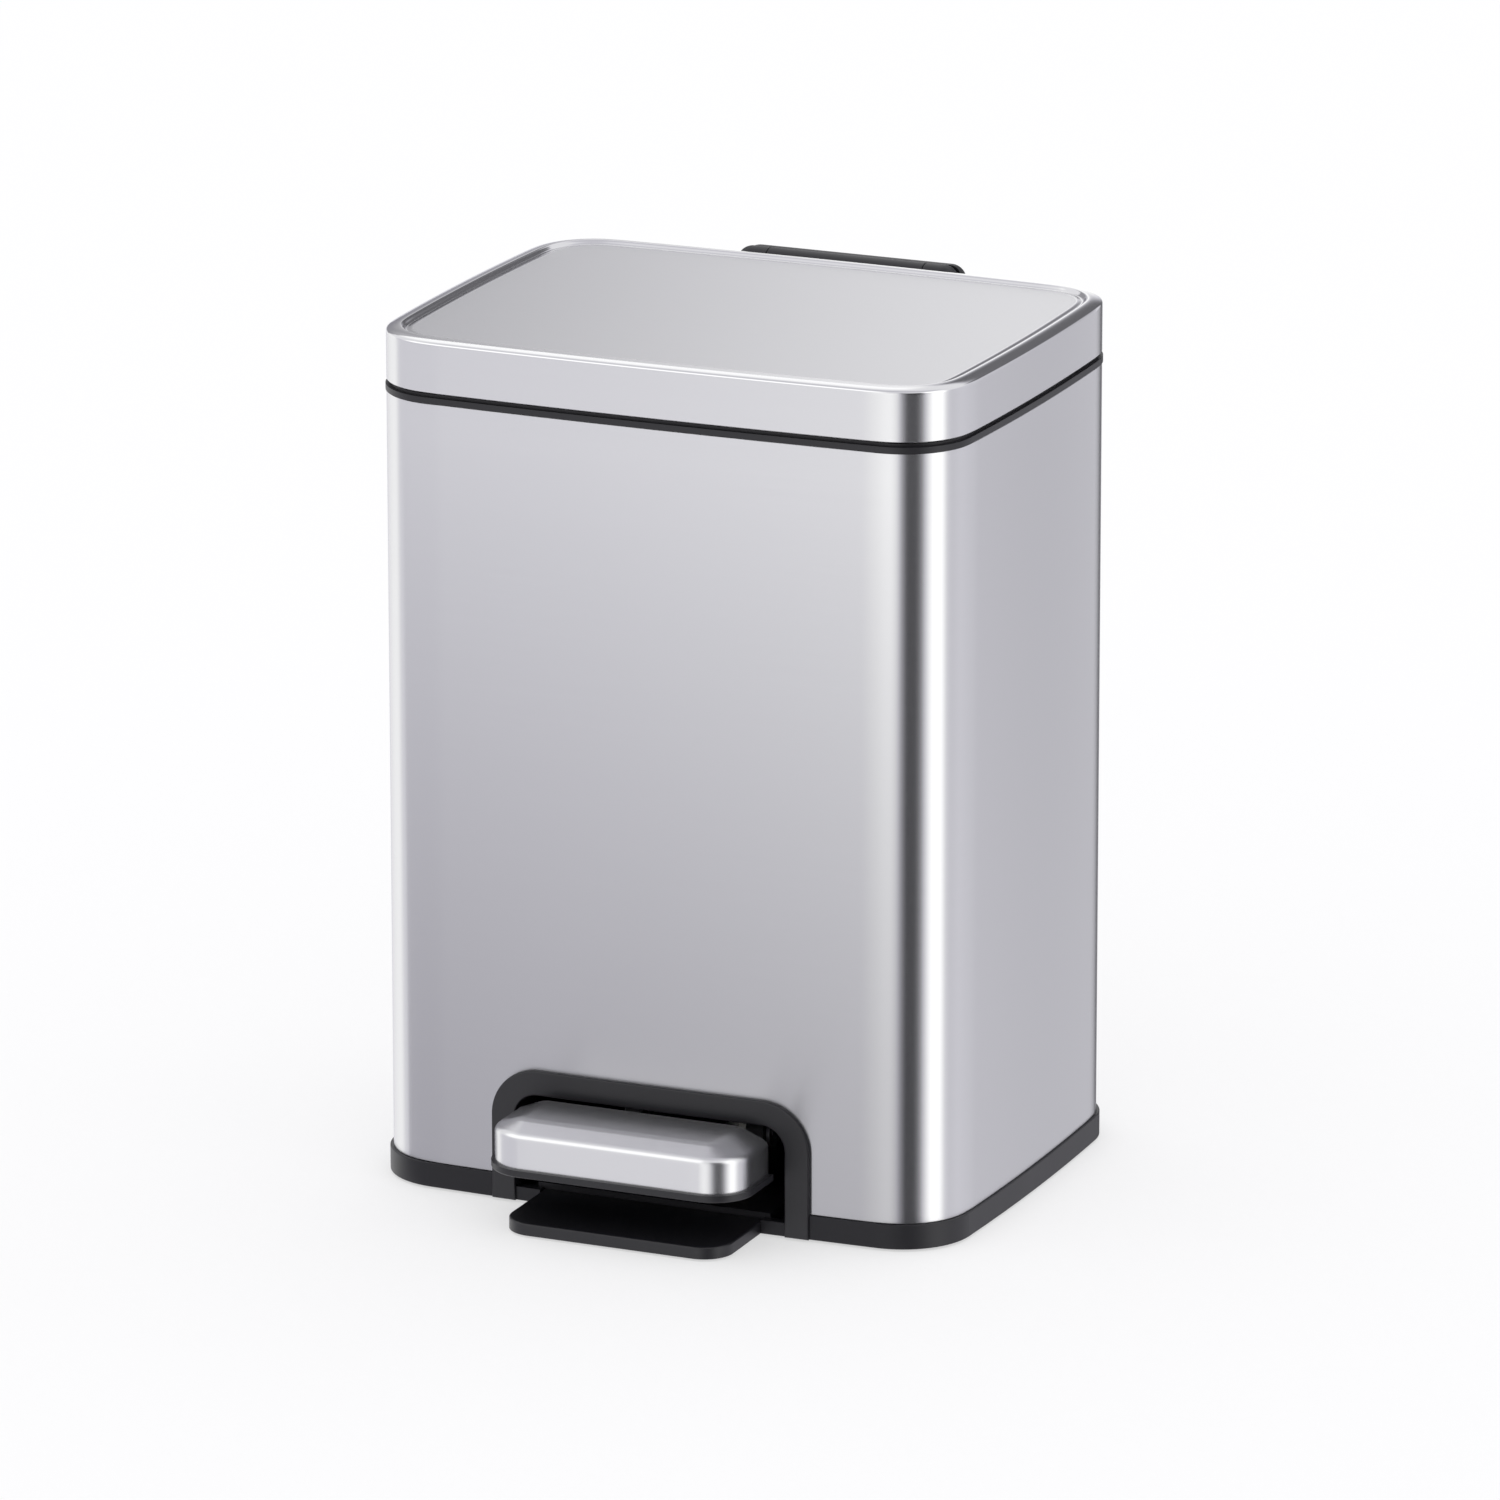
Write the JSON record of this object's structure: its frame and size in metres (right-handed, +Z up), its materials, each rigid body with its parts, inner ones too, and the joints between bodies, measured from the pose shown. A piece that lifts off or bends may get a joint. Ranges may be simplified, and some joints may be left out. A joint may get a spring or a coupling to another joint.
{
  "type": "pedal trash can",
  "caption": "Rectangular brushed steel pedal bin with a hinged lid, a lift-out bucket and a front pedal that raises the lid through a lever and push rod.",
  "frame": {"origin": "on the floor, midway between the front of the pedal and the back of the hinge housing, on the middle plane", "axes": "+Z is up, -Y is the front with the pedal, +X is to the right for someone who faces the back, across the bin"},
  "size_m": [0.2066, 0.2046, 0.2856],
  "materials": {
    "brushed_steel": "satin stainless sheet, brushed in one direction",
    "black_plastic": "fine moulded texture, low sheen",
    "grey_plastic": "smooth moulded polypropylene",
    "zinc_steel": "zinc plated steel",
    "screw_steel": "zinc plated screws",
    "spring_steel": "hardened push-on rings",
    "nylon": "natural nylon",
    "rubber": "soft moulded pads"
  },
  "bodies": {
    "root": {"body_shell": "brushed_steel", "rim_collar": "black_plastic", "base_tray": "black_plastic", "base_screws": "screw_steel", "pedal_surround": "black_plastic", "surround_screws": "screw_steel", "front_foot": "black_plastic", "foot_screws": "screw_steel", "rubber_feet": "rubber", "mechanism_cover": "black_plastic", "rod_guide": "grey_plastic", "inner_bucket": "grey_plastic", "bucket_handle": "zinc_steel", "hinge_housing": "black_plastic", "hinge_end_caps": "black_plastic", "hinge_pin": "zinc_steel", "hinge_backing_plate": "zinc_steel", "hinge_screws": "screw_steel", "pivot_axle": "zinc_steel", "axle_retainers": "spring_steel"},
    "lid": {"lid_shell": "brushed_steel", "lid_liner": "black_plastic", "lid_bumpers": "rubber", "lid_hinge_block": "black_plastic", "lid_block_screws": "screw_steel"},
    "push_rod_body": {"push_rod": "zinc_steel", "rod_retainers": "spring_steel"},
    "lever": {"pedal_cap": "brushed_steel", "pedal_base": "black_plastic", "pedal_lever": "zinc_steel", "lever_bushes": "nylon", "pedal_screws": "screw_steel"}
  },
  "joints": [
    {"name": "lid_hinge", "type": "hinge", "parent": "root", "child": "lid", "pos_m": [0, 0.09415, 0.28], "axis": [-1, 0, 0], "range_deg": [0, 80]},
    {"name": "rod_horn", "type": "hinge", "parent": "lid", "child": "push_rod_body", "pos_m": [0, 0.08215, 0.26993], "axis": [-1, 0, 0], "range_deg": [-80, 0]},
    {"name": "pedal_pivot", "type": "hinge", "parent": "root", "child": "lever", "pos_m": [0, -0.02565, 0.021], "axis": [1, 0, 0], "range_deg": [0, 10.68]}
  ],
  "couplings": [
    {"joint": "rod_horn", "follows": "lid_hinge", "ratio": -1},
    {"joint": "pedal_pivot", "follows": "lid_hinge", "ratio": 0.13341}
  ]
}
